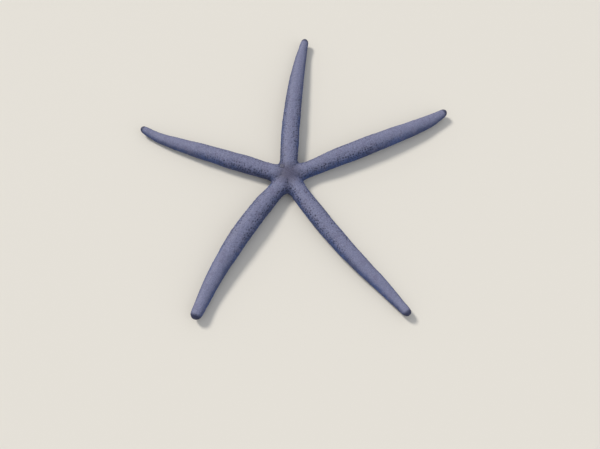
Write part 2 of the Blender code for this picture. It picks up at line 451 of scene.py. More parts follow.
def make_colour_group():
    """Layers of colour, each laid over the last by one mark or pattern, and a fine speckle over all."""
    tree, given, result = new_group("sea_star_colour", MARKS, {"Color": "Color", "Mottle": "Float"})
    broad = cloudy(tree, 38.0, 3.0, 0.55)
    patchy = cloudy(tree, 190.0, 4.0, 0.6)
    speck = cloudy(tree, 1100.0, 2.0, 0.6)
    ridge_painted_light_share = calculate(tree, "ADD", given["Ridge"], spread(tree, patchy, 0.30, 0.70, -0.16, 0.16))
    dusty = calculate(tree, "MULTIPLY", spread(tree, patchy, 0.50, 0.68), 0.38)
    body = mix_colours(tree, spread(tree, broad, 0.42, 0.62), FLANK_PAINTED_SHADE_BLUE, CLEAN_BLUE)
    for share, colour in (
            # Painted light: the ridge mark lays the greyed lavender over the tops of the arms, leaving the
            # painted shade blue on the flanks.
            (spread(tree, ridge_painted_light_share, 0.05, 1.0), RIDGE_PAINTED_LIGHT_LAVENDER),
            (dusty, DUSTY_VIOLET),
            (spread(tree, given["Reach"], 0.10, 0.015, 0.0, 0.75), CENTRE_BROWN),
            (spread(tree, given["Under"], 0.0, 1.0, 0.0, 0.85), UNDER_PALE),
            (spread(tree, given["Pore"], 0.05, 0.80, 0.0, 0.88), PORE_NAVY),
            (spread(tree, given["Reach"], 0.970, 0.988, 0.0, 0.95), TIP_NAVY)):
        body = mix_colours(tree, share, body, colour)
    grain = calculate(tree, "MULTIPLY", spread(tree, speck, 0.25, 0.75, 0.86, 1.14),
                      spread(tree, given["Tint"], 0.0, 1.0, 0.76, 1.24))
    shade = add_node(tree, "CombineColor", {}, grain, grain, grain).outputs["Color"]
    feed(result["Color"], mix_colours(tree, 1.0, body, shade, "MULTIPLY"))
    feed(result["Mottle"], patchy)
    return tree


colour_group = make_colour_group()
print("colour group with", len(colour_group.nodes), "nodes")

# %% [markdown]
# The real skin is like fine sandpaper: grains a quarter of a millimetre across, too small and too many to
# model one by one. A second group makes their height for a Bump node, from rounded cells of two sizes.

# %% The fine grain group
FINE_CELLS = 3300.0            # cells in a metre, so each is about 0.3 mm
SOFT_CELLS = 1500.0


def make_grain_group():
    tree, given, result = new_group("fine_grain", {"Amount": 1.0}, {"Height": "Float"})
    domes = calculate(tree, "SUBTRACT", 1.0, cells(tree, FINE_CELLS))
    swells = calculate(tree, "SUBTRACT", 1.0, cells(tree, SOFT_CELLS, "SMOOTH_F1"))
    both = calculate(tree, "MULTIPLY_ADD", domes, 0.6, calculate(tree, "MULTIPLY", swells, 0.8))
    feed(result["Height"], calculate(tree, "MULTIPLY", both, given["Amount"]))
    return tree


grain_group = make_grain_group()
print("grain group with", len(grain_group.nodes), "nodes")


# %% Finishes
def read_mark(tree, name):
    return add_node(tree, "Attribute", {"attribute_name": name}).outputs["Fac"]


def add_bump(tree, shader, height, depth):
    bump = add_node(tree, "Bump", {}, Height=height, Distance=depth, Strength=1.0)
    feed(shader["Normal"], bump.outputs["Normal"])


def add_grain(tree, shader, amount, depth):
    grain = add_node(tree, "Group", {"node_tree": grain_group}, amount)
    add_bump(tree, shader, grain.outputs["Height"], depth)


def skin_finish(name, grain_depth, roughness):
    """The animal's own colour, read from the marks stored on the mesh."""
    finish, tree, shader = start_finish(name, roughness, 0.35)
    marks = {label: read_mark(tree, label.lower()) for label in MARKS}
    colour = add_node(tree, "Group", {"node_tree": colour_group}, **marks).outputs
    feed(shader["Base Color"], colour["Color"])
    feed(shader["Roughness"],
         spread(tree, colour["Mottle"], 0.35, 0.65, roughness - 0.07, roughness + 0.10))
    add_grain(tree, shader, 1.0, grain_depth)
    return finish


skin_material = skin_finish("skin_finish", 0.07 * MM, 0.60)
granule_material = skin_finish("granule_finish", 0.02 * MM, 0.58)
plate_material = skin_finish("terminal_plate_finish", 0.015 * MM, 0.42)
print("finishes:", [finish.name for finish in (skin_material, granule_material, plate_material)])

# %% [markdown]
# ## The skin
#
# One skin covers disc and arms with no seam. It could be built new, but the frame already has the right
# form, only parted by thin cuts and made of flat facets. So copies of the nodes are joined, the flat faces
# of each cut are taken away and their rims bridged. A subdivision rounds the facets, a voxel remesh gives
# an even net fine enough to carve, and smoothing takes the last steps out. The skin runs on underneath the
# tip plates, so no gap can show there.

# %% Join copies of the nodes
CUT_REACH = 0.45 * MM          # every corner of a cut's two faces lies this close to the cut's middle
CUT_HEIGHT = 5.0 * MM          # height of the middle of a cut, roughly
HALF_CUT = 0.15 * MM


def copy_node(node, name):
    """A free copy of a node's mesh, with its loose triangles merged."""
    item = new_object(name, frame["nodes"][node].data.copy())
    item.data.materials.clear()
    pick(item)
    bpy.ops.mesh.customdata_custom_splitnormals_clear()
    with editing(item):
        bpy.ops.mesh.remove_doubles(threshold=0.002 * MM)
    return item


def close_cut(item, place, along):
    """Takes away the two flat faces of one thin cut and bridges their rims; gives the rims' edges."""
    middle, normal = Vector((*place, CUT_HEIGHT)), Vector((*along, 0.0))

    def in_cut(face):
        flat = all(abs((corner.co - middle).dot(normal)) < CUT_REACH for corner in face.verts)
        return flat and (face.calc_center_median() - middle).length < ARM_REACH

    with editing(item, "DESELECT"):
        select_faces(item, in_cut)
        bpy.ops.mesh.delete(type="FACE")
        bpy.ops.mesh.select_non_manifold()
        rim = item.data.total_edge_sel
        bpy.ops.mesh.bridge_edge_loops()
    return rim


copies = [copy_node(node, "skin") for node in FLESH + ["tip_" + letter for letter in LETTERS]]
skin = copies[0]
pick(skin)
for item in copies:
    item.select_set(True)
bpy.ops.object.join()
for letter, arm in arms.items():
    root_course = unit(arm["arm_line"][0] - centre)
    tip_course = unit(arm["tip_line"][1] - arm["arm_line"][-1])
    rims = [close_cut(skin, arm["arm_line"][0] - HALF_CUT * root_course, root_course),
            close_cut(skin, (arm["arm_line"][-1] + arm["tip_line"][0]) / 2.0, tip_course)]
    print("arm %s: cuts closed between rims of %s edges" % (letter, rims))
tell(skin)

# %% Round the facets and make an even net
NET_STEP = 0.65 * MM
SOFTENING_ROUNDS = 12

with editing(skin):
    bpy.ops.mesh.tris_convert_to_quads()
    bpy.ops.mesh.normals_make_consistent(inside=False)
apply_modifier(skin, "SUBSURF", levels=1, render_levels=1)
apply_modifier(skin, "REMESH", mode="VOXEL", voxel_size=NET_STEP)
apply_modifier(skin, "SMOOTH", factor=0.5, iterations=SOFTENING_ROUNDS)
tell(skin)

# %% [markdown]
# ## Where each point of the skin lies
#
# Each point belongs to the arm whose centre line is nearest. Along that line it has a reach, measured from
# the disc's centre, and round the arm it has a turn: 0 on the ridge, a quarter turn at the widest line, half
# a turn in the groove. All markings, pits and rows are laid out in these two numbers.

# %% Reach and turn of every point
AXIS_SHARE = 0.46              # the widest line's height, as a share of the arm's


def all_along(what):
    """One measure at every station of all five centre lines."""
    return np.concatenate([arm[what] for arm in arms.values()])


station_arm = np.repeat(np.arange(len(arms)), [len(arm["fine"]) for arm in arms.values()])
line_tree = tree_of(np.column_stack((all_along("line"), np.zeros(len(station_arm)))))


def lay_out(points):
    """For each point: its arm's number, reach, distance beside the centre line, turn, width and foot."""
    found, _ = nearest_in(line_tree, points * (1.0, 1.0, 0.0))
    line, course, fine, width, foot, top = (
        all_along(what)[found] for what in ("line", "course", "fine", "width", "foot", "top"))
    away = points[:, :2] - line
    along = fine + (away * course).sum(axis=1)
    beside = away[:, 1] * course[:, 0] - away[:, 0] * course[:, 1]
    middle = foot + AXIS_SHARE * (top - foot)
    arm_number = station_arm[found]
    turn = np.arctan2(beside, points[:, 2] - middle)
    return arm_number, along / lengths[arm_number], beside, turn, width, foot


skin_points = points_of(skin)
arm_number, reach, side, turn, width, floor = lay_out(skin_points)
arm_length = lengths[arm_number]
print("points on each arm:", np.bincount(arm_number))

# %% [markdown]
# ## Plates and pore fields
#
# Under the granules the body wall is a pavement of small convex plates. Between them lie the pore fields,
# sunken dark spots through which the animal breathes. They stand in rough rows along the arm, close and
# deep on the flanks of its inner half, fainter on the ridge and towards the tip, and there are none below.
# The rows are laid out in reach and turn, and each place is loosened by a seeded random step.

# %% Places of the pore fields
ROW_TURN = 0.262               # angle between rows, in radians
ROWS_EACH_SIDE = 7
FIELD_STEP = 2.15 * MM         # spacing along a row where the arm is 15 mm wide
FULL_WIDTH = 15.0 * MM
FIRST_FIELD = 5.0 * MM         # from the disc's centre
LAST_FIELD = 9.0 * MM          # from the tip
CLOSEST_FIELDS = 1.3 * MM
FIELD_MISS = 1.2 * MM          # a place further than this from the skin is dropped

dice = np.random.default_rng(7)


def field_places():
    """Every pore field as arm number, distance from the centre, turn, radius and strength."""
    places = []
    for number, arm in enumerate(arms.values()):
        for row in range(-ROWS_EACH_SIDE, ROWS_EACH_SIDE + 1):
            at = FIRST_FIELD + (row % 2) * FIELD_STEP / 2.0
            while at < arm["length"] - LAST_FIELD:
                size = width_at(arm, at) / FULL_WIDTH
                loose = 0.42 if abs(row) > 2 else 0.75
                flank = 0.46 + 0.54 * float(ease((abs(row) - 0.5) / 3.0))
                inner = 1.0 - 0.85 * float(ease((at / arm["length"] - 0.40) / 0.38))
                strength = flank * inner * dice.uniform(0.60, 1.0)
                if dice.random() < 0.10:
                    strength *= 0.3
                places.append((number, at + dice.normal(0.0, loose * 0.6 * MM),
                               row * ROW_TURN + dice.normal(0.0, loose * 0.085),
                               dice.uniform(0.54, 0.80) * MM * size ** 0.6, strength))
                at += FIELD_STEP * size ** 0.7 * dice.uniform(0.88, 1.12)
    return np.array(places)


def thin_out(points, closest):
    """Keeps points in order unless a kept one is closer than the distance; works through a grid of boxes."""
    near = [(x, y, z) for x in (-1, 0, 1) for y in (-1, 0, 1) for z in (-1, 0, 1)]
    boxes, kept = {}, []
    corners = np.floor(points / closest).astype(int).tolist()
    for number, ((i, j, k), (x, y, z)) in enumerate(zip(corners, points.tolist())):
        if not any((px - x) ** 2 + (py - y) ** 2 + (pz - z) ** 2 < closest ** 2
                   for di, dj, dk in near for px, py, pz in boxes.get((i + di, j + dj, k + dk), ())):
            boxes.setdefault((i, j, k), []).append((x, y, z))
            kept.append(number)
    return np.array(kept)


fields = field_places()
layout = tree_of(np.column_stack((reach * arm_length, turn * width / 2.0, arm_number)))
nearest, miss = nearest_in(layout, [
    (at, round_arm * (width_at(arms[LETTERS[int(number)]], at) / 2.0), number)
    for number, at, round_arm, _, _ in fields])
fields, field_points = fields[miss < FIELD_MISS], skin_points[nearest][miss < FIELD_MISS]
kept = thin_out(field_points, CLOSEST_FIELDS)
fields, field_points = fields[kept], field_points[kept]
print("%d pore fields" % len(fields))

# %% How deep in a pore field each point lies
owner, gap = nearest_in(tree_of(field_points), skin_points)
lean = unit(dice.normal(size=(len(fields), 3)))
offset = skin_points - field_points[owner]
along_lean = (offset * lean[owner]).sum(axis=1)
oval_gap = np.sqrt(np.maximum((offset ** 2).sum(axis=1) - 0.45 * along_lean ** 2, 0.0))
pore = fields[owner, 4] * (1.0 - ease((oval_gap / fields[owner, 3] - 0.45) / 0.75))
pore *= 1.0 - ease((np.abs(turn) - 1.75) / 0.35)
plate = ease((gap - 0.8 * MM) / (0.9 * MM)) * (1.0 - ease((np.abs(turn) - 2.0) / 0.4))
print("a share %.2f of the skin is pore field" % (pore > 0.3).mean())

# %% [markdown]
# ## Carve the skin
#
# The same net is now moved along its own normals: in by the depth of the granule coat, down into the pore
# fields, up over the plates. A few long waves keep the arms from looking turned on a lathe. Underneath, the
# groove gets its cross ridges, one for each pair of tube feet. Nothing may sink under the floor.

# %% Move the points
COAT_DEPTH = 0.18 * MM
ROUNDING_LOSS = 0.20 * MM      # how far rounding and smoothing drew the skin in
PORE_DEPTH = 0.32 * MM
PLATE_RISE = 0.16 * MM
WAVE_HEIGHT = 0.13 * MM
GROOVE_SHARE = 0.125           # half the groove's width, as a share of the arm's
RIDGE_HEIGHT = 0.16 * MM
RIDGE_STEP = 1.3 * MM
FLOOR_CLEARANCE = 0.30 * MM


def long_waves(points, count=22, shortest=11.0 * MM, longest=30.0 * MM):
    """A gentle swell: the sum of a few plane waves in random directions, about -1 to 1."""
    total = np.zeros(len(points))
    for _ in range(count):
        direction = dice.normal(size=3)
        direction *= 2.0 * np.pi / (np.linalg.norm(direction) * dice.uniform(shortest, longest))
        total += np.sin(points @ direction + dice.uniform(0.0, 2.0 * np.pi))
    return total / np.sqrt(count)


in_groove = ease((GROOVE_SHARE * width - np.abs(side)) / (0.02 * width))
in_groove *= skin_points[:, 2] < floor + 0.30 * width
cross_ridges = RIDGE_HEIGHT * np.cos(2.0 * np.pi * reach * arm_length / RIDGE_STEP) * in_groove
rise = PLATE_RISE * plate - PORE_DEPTH * pore + WAVE_HEIGHT * long_waves(skin_points) * (1.0 - in_groove)
rise += cross_ridges + ROUNDING_LOSS - COAT_DEPTH - PLATE_RISE
skin_points = skin_points + normals_of(skin) * rise[:, None]
skin_points[:, 2] = np.maximum(skin_points[:, 2], FLOOR_CLEARANCE)
move_points(skin, skin_points)
print("moved between %.2f and %.2f mm along the normals" % (rise.min() / MM, rise.max() / MM))


# %% Store the marks
def body_marks(reach, turn, pore, tint):
    """The skin's five marks for any points. Pore and tint may be one number for all."""
    every, around = np.zeros(len(reach)), np.abs(turn)
    # The ridge mark places painted light on the arms' tops, a little weaker near the centre.
    return {"pore": every + pore,
            "ridge": ease((1.70 - around) / 1.45) * (0.75 + 0.25 * ease(reach / 0.15)),
            "reach": reach, "under": ease((around - 1.9) / 0.65), "tint": every + tint}


def store_marks(item, marks):
    """Writes one float for each point and name."""
    for name, values in marks.items():
        attribute = item.data.attributes.new(name, "FLOAT", "POINT")
        attribute.data.foreach_set("value", np.float32(values))


# The skin's tint of 0.30 makes it a little darker than the granules standing on it: painted shade in the gaps
# between them.
skin_marks = body_marks(reach, turn, pore, 0.30)
store_marks(skin, skin_marks)
hand_in(skin, skin_material, "skin", *FLESH)

# %% [markdown]
# ## Unwrap the skin
#
# A baked picture of the colours needs every bit of skin laid flat. The body is cut like a glove: along the
# lines between the arms and along the floor of each groove, where no one looks. Each arm then opens into
# one long strip. The same layout also gives every granule its own small patch.

# %% Seams and unwrap
skin.data.uv_layers.new(name="OFBake")
with editing(skin):
    net = bmesh.from_edit_mesh(skin.data)
    for edge in net.edges:
        one, other = (face.verts[0].index for face in edge.link_faces)
        between_arms = arm_number[one] != arm_number[other]
        in_floor = side[one] * side[other] < 0.0 and abs(turn[one]) > 2.4 and reach[one] < 0.985
        edge.seam = bool(between_arms or in_floor)
    bpy.ops.uv.unwrap(method="CONFORMAL", margin=0.004)
flat_skin = read_rows(skin.data.uv_layers["OFBake"].data, "uv", columns=2)
print("unwrapped between", flat_skin.min(axis=0).round(3), "and", flat_skin.max(axis=0).round(3))

# %% [markdown]
# ## Many copies of one small shape
#
# Granules, spines and tube feet are each modelled once, as a few faces standing on +Z, and then copied by
# the thousand. Each copy gets its place, the way it faces, its own spin and size. All copies of a kind on
# one arm become one mesh, because separate objects by the thousand would be slow and instances are lost
# when the model is exported.


# %% A small model
def from_lowest(corners):
    """A face's corners, begun at the lowest number: an extrusion may number its faces anew each run."""
    start = corners.index(min(corners))
    return corners[start:] + corners[:start]


def small_model(sides, foot, top, low, high, steps, point_rise):
    """
    A short cone between two heights on the Z axis. Its top face is pulled up and resized once for each
    (rise, scale) step, and closed with a point a little higher. Gives the points, the faces, and the
    points spread flat round the top; the model itself is removed.
    """
    bpy.ops.object.select_all(action="DESELECT")
    bpy.ops.mesh.primitive_cone_add(vertices=sides, radius1=foot, radius2=top, depth=high - low,
                                    location=(0.0, 0.0, (low + high) / 2.0))
    item = just_added("stub")
    with editing(item, "DESELECT"):
        select_faces(item, lambda face: face.normal.z > 0.9)
        for rise, scale in steps:
            bpy.ops.mesh.extrude_region_move(TRANSFORM_OT_translate={"value": (0.0, 0.0, rise)})
            bpy.ops.transform.resize(value=(scale, scale, 1.0))
        bpy.ops.mesh.poke(offset=point_rise)
    points = points_of(item)
    faces = sorted(from_lowest(list(face.vertices)) for face in item.data.polygons)
    bpy.data.objects.remove(item)
    off_axis = np.hypot(points[:, 0], points[:, 1])
    down = (points[:, 2].max() - points[:, 2]) / np.ptp(points[:, 2])
    apart = (0.25 + 0.75 * down) / np.maximum(off_axis, 0.001) * (off_axis > 0.01)
    return points, faces, points[:, :2] * apart[:, None]


granule = small_model(5, foot=1.0, top=0.62, low=-0.4, high=0.6, steps=(), point_rise=0.25)
print("a granule has %d points and %d faces" % (len(granule[0]), len(granule[1])))

# %% Joined copies
PATCH_SIZE = 0.003             # one copy's patch, as a share of the layout's side


def joined_copies(name, shape, places, outwards, sizes, spins, marks, patches):
    """One mesh of many copies. Marks are stored for each copy; patches are its place in the flat layout."""
    shape_points, shape_faces, flat_points = shape
    places, outwards, sizes, patches = map(np.array, (places, outwards, sizes, patches))
    count, each = len(places), len(shape_points)
    outwards = unit(outwards)
    helper = np.where(np.abs(outwards[:, 2:]) < 0.9, (0.0, 0.0, 1.0), (1.0, 0.0, 0.0))
    across = unit(np.cross(helper, outwards))
    ahead = np.cross(outwards, across)
    cosine, sine = np.cos(spins)[:, None], np.sin(spins)[:, None]
    axes = np.stack((across * cosine + ahead * sine, ahead * cosine - across * sine, outwards), axis=1)
    stretched = shape_points[None] * sizes[:, None]
    points = (places[:, None] + np.einsum("npk,nkc->npc", stretched, axes)).reshape(-1, 3)
    points[:, 2] = np.maximum(points[:, 2], 0.01 * MM)
    faces = [[start + corner for corner in face] for start in range(0, count * each, each)
             for face in shape_faces]
    mesh = bpy.data.meshes.new(name)
    mesh.from_pydata(points, (), faces)
    item = new_object(name, mesh)
    store_marks(item, {label: np.repeat(np.full(count, values), each) for label, values in marks.items()})
    spot = patches[:, None] + PATCH_SIZE / 2.0 * flat_points[None]
    layer = mesh.uv_layers.new(name="OFBake")
    layer.data.foreach_set("uv", spot.reshape(-1, 2)[np.concatenate(faces)].ravel())
    return item

# %% [markdown]
# ## Granules
#
# What a finger feels on this animal is a close coat of low granules, largest on top of the plates and
# smallest in the pore fields. Points are thrown on the skin at random, evenly by area, and thinned until
# none stand closer than a granule's width. Each point carries the skin's marks with it.

# %% Throw points on the skin
PLATE_LENGTH = 2.5 * MM        # the hard plate at each tip, which has no granules
GRANULE_SPACING = 0.505 * MM
THROWS = 400000
SIEVE_CLEARANCE = 2.1 * MM
MOUTH_CLEARANCE = 4.9 * MM


def throw_points(count):
    """Random points on the skin, with everything a granule needs to know about its root."""
    skin.data.calc_loop_triangles()
    triangles, loops = (read_rows(skin.data.loop_triangles, what, kind=int) for what in ("vertices", "loops"))
    a, b, c = (skin_points[triangles[:, corner]] for corner in range(3))
    area = np.linalg.norm(np.cross(b - a, c - a), axis=1)
    chosen = dice.choice(len(triangles), count, p=area / area.sum())
    first, second = np.sqrt(dice.random(count)), dice.random(count)
    weights = np.stack((1.0 - first, first * (1.0 - second), first * second), axis=1)

    def blend(values, corners=triangles):
        return np.einsum("nk,nk...->n...", weights, values[corners[chosen]])

    one_corner = triangles[chosen, 0]
    return {label: blend(values) for label, values in skin_marks.items()} | {
        "place": blend(skin_points), "outwards": blend(normals_of(skin)), "flat": blend(flat_skin, loops),
        "plate": blend(plate), "side": blend(side), "turn": np.abs(turn[one_corner]),
        "width": width[one_corner], "arm": arm_number[one_corner]}


def pick_rows(table, wanted):
    return {label: values[wanted] for label, values in table.items()}


roots = throw_points(THROWS)
sieve_middle = sum(np.array(corner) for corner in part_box("madreporite")) / 2.0
plate_share = 1.0 - PLATE_LENGTH / lengths
from_centre = np.linalg.norm(roots["place"][:, :2] - centre, axis=1)
bare = np.linalg.norm(roots["place"] - sieve_middle, axis=1) < SIEVE_CLEARANCE
bare |= (from_centre < MOUTH_CLEARANCE) & (roots["turn"] > 1.5)
bare |= (np.abs(roots["side"]) < GROOVE_SHARE * roots["width"]) & (roots["turn"] > 2.4)
bare |= roots["reach"] > plate_share[roots["arm"]] + 0.0015
roots = pick_rows(roots, ~bare)
roots = pick_rows(roots, thin_out(roots["place"], GRANULE_SPACING))
print("%d granules" % len(roots["place"]))

# %% The coat of each arm
for number, letter in enumerate(LETTERS):
    here = pick_rows(roots, roots["arm"] == number)
    count = len(here["arm"])
    girth = np.clip(here["width"] / FULL_WIDTH, 0.55, 1.1)
    radius = (0.32 + 0.05 * here["plate"] - 0.09 * np.clip(here["pore"], 0.0, 1.0)) * MM * girth ** 0.2
    radius *= dice.uniform(0.82, 1.18, count)
    height = radius * dice.uniform(0.50, 0.72, count)
    spins = dice.uniform(0.0, 2.0 * np.pi, count)
    marks = {label: here[label] for label in skin_marks} | {"tint": dice.uniform(0.25, 0.95, count)}
    corner = here["flat"].min(axis=0)
    extent = (here["flat"].max(axis=0) - corner).max()
    coat = joined_copies("granules_" + letter, granule, here["place"], here["outwards"],
                         np.stack((radius, radius, height), axis=1), spins, marks,
                         0.003 + 0.994 * (here["flat"] - corner) / extent)
    hand_in(coat, granule_material, "skin")

# %% [markdown]
# ## The plates at the arms' tips
#
# Each arm ends in one hard plate, the oldest bit of the arm: it was made first and is pushed outwards all
# the animal's life. It could be a scaled sphere, but the frame's own tip has the right outline already. Its
# copy is rounded by subdivision and cut across, so that only a cap is left over the end of the skin. The
# cap's rim is drawn in under the last granules, and a few low worn bumps are raised on it.

# %% Terminal plates
PLATE_INSET = 0.12 * MM
RIM_DIP = 0.35 * MM
RIM_REACH = 0.6 * MM
BUMPS = 40
BUMP_RADIUS = 0.45 * MM
BUMP_HEIGHT = 0.11 * MM
FINE_CUT = 0.001 * MM          # a wider threshold would fold close points onto the cut


def raise_bumps(item, count, radius, height):
    """The item's points, lifted along their normals round a number of random points, like worn pimples."""
    points = points_of(item)
    places = points[dice.choice(len(points), count, replace=False)]
    gaps = np.linalg.norm(points[:, None] - places[None], axis=2).min(axis=1)
    return points + normals_of(item) * (height * ease(1.0 - gaps / radius))[:, None]


for letter, arm in arms.items():
    tip = copy_node("tip_" + letter, "terminal_plate_" + letter)
    with editing(tip):
        bpy.ops.mesh.tris_convert_to_quads()
    apply_modifier(tip, "SUBSURF", levels=3, render_levels=3)
    outwards = np.array((*arm["course"][-1], 0.0))
    cut = (points_of(tip) @ outwards).max() - PLATE_LENGTH
    with editing(tip):
        bpy.ops.mesh.bisect(plane_co=outwards * cut, plane_no=outwards, clear_inner=True, use_fill=True,
                            threshold=FINE_CUT)
    moved = raise_bumps(tip, BUMPS, BUMP_RADIUS, BUMP_HEIGHT)
    from_rim = moved @ outwards - cut
    inwards = moved[from_rim < 0.01 * MM].mean(axis=0) - moved
    inwards -= outwards * (inwards @ outwards)[:, None]
    inwards /= np.linalg.norm(inwards, axis=1)[:, None] + 0.1 * MM
    moved += inwards * (RIM_DIP * (1.0 - ease(from_rim / RIM_REACH)) + PLATE_INSET)[:, None]
    move_points(tip, moved)
    _, tip_reach, _, tip_turn, _, _ = lay_out(moved)
    store_marks(tip, body_marks(tip_reach, tip_turn, 0.0, 0.5))
    hand_in(tip, plate_material, "terminal_plate", "tip_" + letter)

# %% [markdown]
# ## The sieve plate
#
# Water for the tube feet comes in through one button on the back, cut all over by fine winding furrows that
# run from its middle to its edge. A flattened sphere gives the button. The furrows are too narrow for a
# bump alone at this size, so the points of a fine net are moved: up on the folds and down between them.

# %% The sieve plate's finish
FURROW_PAINTED_SHADE_GREY = (0.050, 0.055, 0.100, 1.0)
FOLD_GREYS = ((0.14, 0.14, 0.19, 1.0), (0.21, 0.20, 0.25, 1.0))

sieve_finish, tree, shader = start_finish("sieve_finish", 0.62, 0.3)
pale = mix_colours(tree, cloudy(tree, 900.0, 3.0), *FOLD_GREYS)
# The furrows are painted darker than the folds: painted shade in the grooves.
feed(shader["Base Color"],
     mix_colours(tree, spread(tree, read_mark(tree, "fold"), -0.8, 0.7), FURROW_PAINTED_SHADE_GREY, pale))
add_grain(tree, shader, 0.7, 0.02 * MM)
print("finish:", sieve_finish.name)

# %% The sieve plate
SIEVE_RADIUS = 1.95 * MM
SIEVE_HEIGHT = 0.62 * MM
SIEVE_SINK = 0.05 * MM
FOLD_HEIGHT = 0.10 * MM
FURROWS = 17

sieve_points = points_of(frame["nodes"]["madreporite"])
sieve_axes = np.linalg.svd(sieve_points - sieve_points.mean(axis=0))[2]
sieve_out = sieve_axes[2] * np.sign(sieve_axes[2][2])
bpy.ops.object.select_all(action="DESELECT")
bpy.ops.mesh.primitive_uv_sphere_add(segments=136, ring_count=48, radius=1.0)
sieve = just_added("sieve_plate")
with editing(sieve):
    bpy.ops.mesh.bisect(plane_co=(0.0, 0.0, -0.3), plane_no=(0.0, 0.0, 1.0), clear_inner=True, use_fill=True)
shape = points_of(sieve)
spoke = np.hypot(shape[:, 0], shape[:, 1])
angle = np.arctan2(shape[:, 1], shape[:, 0])
winding = FURROWS * angle + 2.6 * np.sin(3.0 * angle + 5.0 * spoke) + 1.5 * np.sin(9.0 * spoke + 2.0 * angle)
fold = np.cos(winding) * ease(spoke / 0.25) * (0.6 + 0.4 * np.cos(7.0 * spoke + 3.0 * angle))
edge_swell = 1.0 + 0.06 * np.sin(5.0 * angle + 1.0) + 0.04 * np.sin(3.0 * angle)
shape[:, :2] *= (SIEVE_RADIUS * edge_swell)[:, None]
shape[:, 2] = shape[:, 2] * SIEVE_HEIGHT + FOLD_HEIGHT * fold * (shape[:, 2] > -0.1)
upright = np.array(Vector(sieve_out).to_track_quat("Z", "Y").to_matrix())
move_points(sieve, shape @ upright.T + sieve_middle - sieve_out * SIEVE_SINK)
store_marks(sieve, {"fold": fold})
hand_in(sieve, sieve_finish, "madreporite", "madreporite")

# %% [markdown]
# ## Spines along the grooves
#
# Underneath, a groove runs along each arm. Flat blunt spines stand along both rims and can close over it
# like eyelids. Outside them are a row of short stout pegs and a row of low buttons that the arm rests on.
# One six-sided peg is modelled and copied in several sizes. Its places come from the arm's centre line, and
# its heights from the nearest point of the skin.

# %% Places under an arm
FIRST_STATION = 5.6 * MM
under_points = np.flatnonzero((np.abs(turn) > 1.9) & (reach < plate_share[arm_number]))
under_tree = tree_of(np.column_stack((reach * arm_length, side, arm_number))[under_points])


def stations(arm, step, start, stop):
    """Distances from the centre, closer together where the arm is thin."""
    at = start
    while at < stop:
        yield at
        at += step * (width_at(arm, at) / FULL_WIDTH) ** 0.6


def spot_under(letter, at, beside_share):
    """A place under an arm: beside_share is in arm widths. Gives the place, the sideways course and size."""
    arm = arms[letter]
    girth = width_at(arm, at)
    line, along = (np.array([np.interp(at, arm["fine"], arm[what][:, axis]) for axis in (0, 1)])
                   for what in ("line", "course"))
    sideways = np.array((-along[1], along[0]))
    beside = beside_share * girth
    order = under_tree.find((at, beside, LETTERS.index(letter)))[1]
    height = skin_points[under_points[order], 2]
    return np.array((*(line + sideways * beside), height)), np.array((*sideways, 0.0)), girth / FULL_WIDTH


print("%d points of the skin lie underneath" % len(under_points))


# %% Rows of copies
def make_rows(name, letter, shape, rows):
    """
    Rows of copies under one arm. Each row is (share beside the line, step, start, radius along the arm,
    radius across, length, lean inwards, height of the root above the skin point), on both sides.
    """
    arm = arms[letter]
    last_station = arm["length"] - PLATE_LENGTH - 0.8 * MM
    copies = []
    for number, (beside, step, start, wide, thin, long, lean, lift) in enumerate(rows):
        for hand in (-1.0, 1.0):
            for at in stations(arm, step, start + (hand > 0.0) * step / 2.0, last_station):
                place, sideways, size = spot_under(letter, at, hand * beside)
                size = size ** 0.6
                along = np.array((sideways[1], -sideways[0], 0.0))
                out = -np.array((0.0, 0.0, 1.0)) - hand * lean * sideways
                out = unit(out + dice.normal(0.0, 0.07, 3) + dice.normal(0.0, 0.10) * along)
                down = min(long * size * dice.uniform(0.88, 1.1),
                           (place[2] + lift - 0.04 * MM) / max(-out[2], 0.3))
                across = unit(np.cross((0.0, 0.0, 1.0), out))
                spin = math.atan2(along @ np.cross(out, across), along @ across)
                share = at / arm["length"]
                copies.append((place + (0.0, 0.0, lift), out, (wide * size, thin * size, down), spin, share,
                               (share, 0.5 + 0.4 * hand * (number + 1) / len(rows))))
    *parts, share, flat = zip(*copies)
    marks = {"pore": 0.0, "ridge": 0.3, "reach": share, "under": 0.6,
             "tint": dice.uniform(0.3, 0.9, len(copies))}
    return joined_copies(name + "_" + letter, shape, *parts, marks, 0.005 + 0.99 * np.array(flat))


# %% The rows of pegs
peg = small_model(6, foot=1.0, top=1.05, low=-0.25, high=0.35, steps=((0.35, 0.92), (0.22, 0.70)),
                  point_rise=0.08)
PEG_ROWS = (
    (0.127, 0.64 * MM, FIRST_STATION, 0.29 * MM, 0.17 * MM, 1.05 * MM, 0.95, 0.05 * MM),
    (0.158, 0.92 * MM, FIRST_STATION, 0.36 * MM, 0.30 * MM, 0.62 * MM, 0.25, 0.06 * MM),
    (0.198, 1.02 * MM, FIRST_STATION + 1.0 * MM, 0.42 * MM, 0.37 * MM, 0.42 * MM, 0.0, 0.08 * MM))
for letter in LETTERS:
    hand_in(make_rows("groove_pegs", letter, peg, PEG_ROWS), granule_material, "skin")

# %% [markdown]
# ## Tube feet
#
# The animal walks on hundreds of small hollow feet, in two rows along each groove, each ending in a
# sucker. They are soft and wet, pale straw yellow, and no two point quite the same way. One foot is grown
# from a seven-sided stub: a stalk with a waist, then the wider sucker with its dished end.

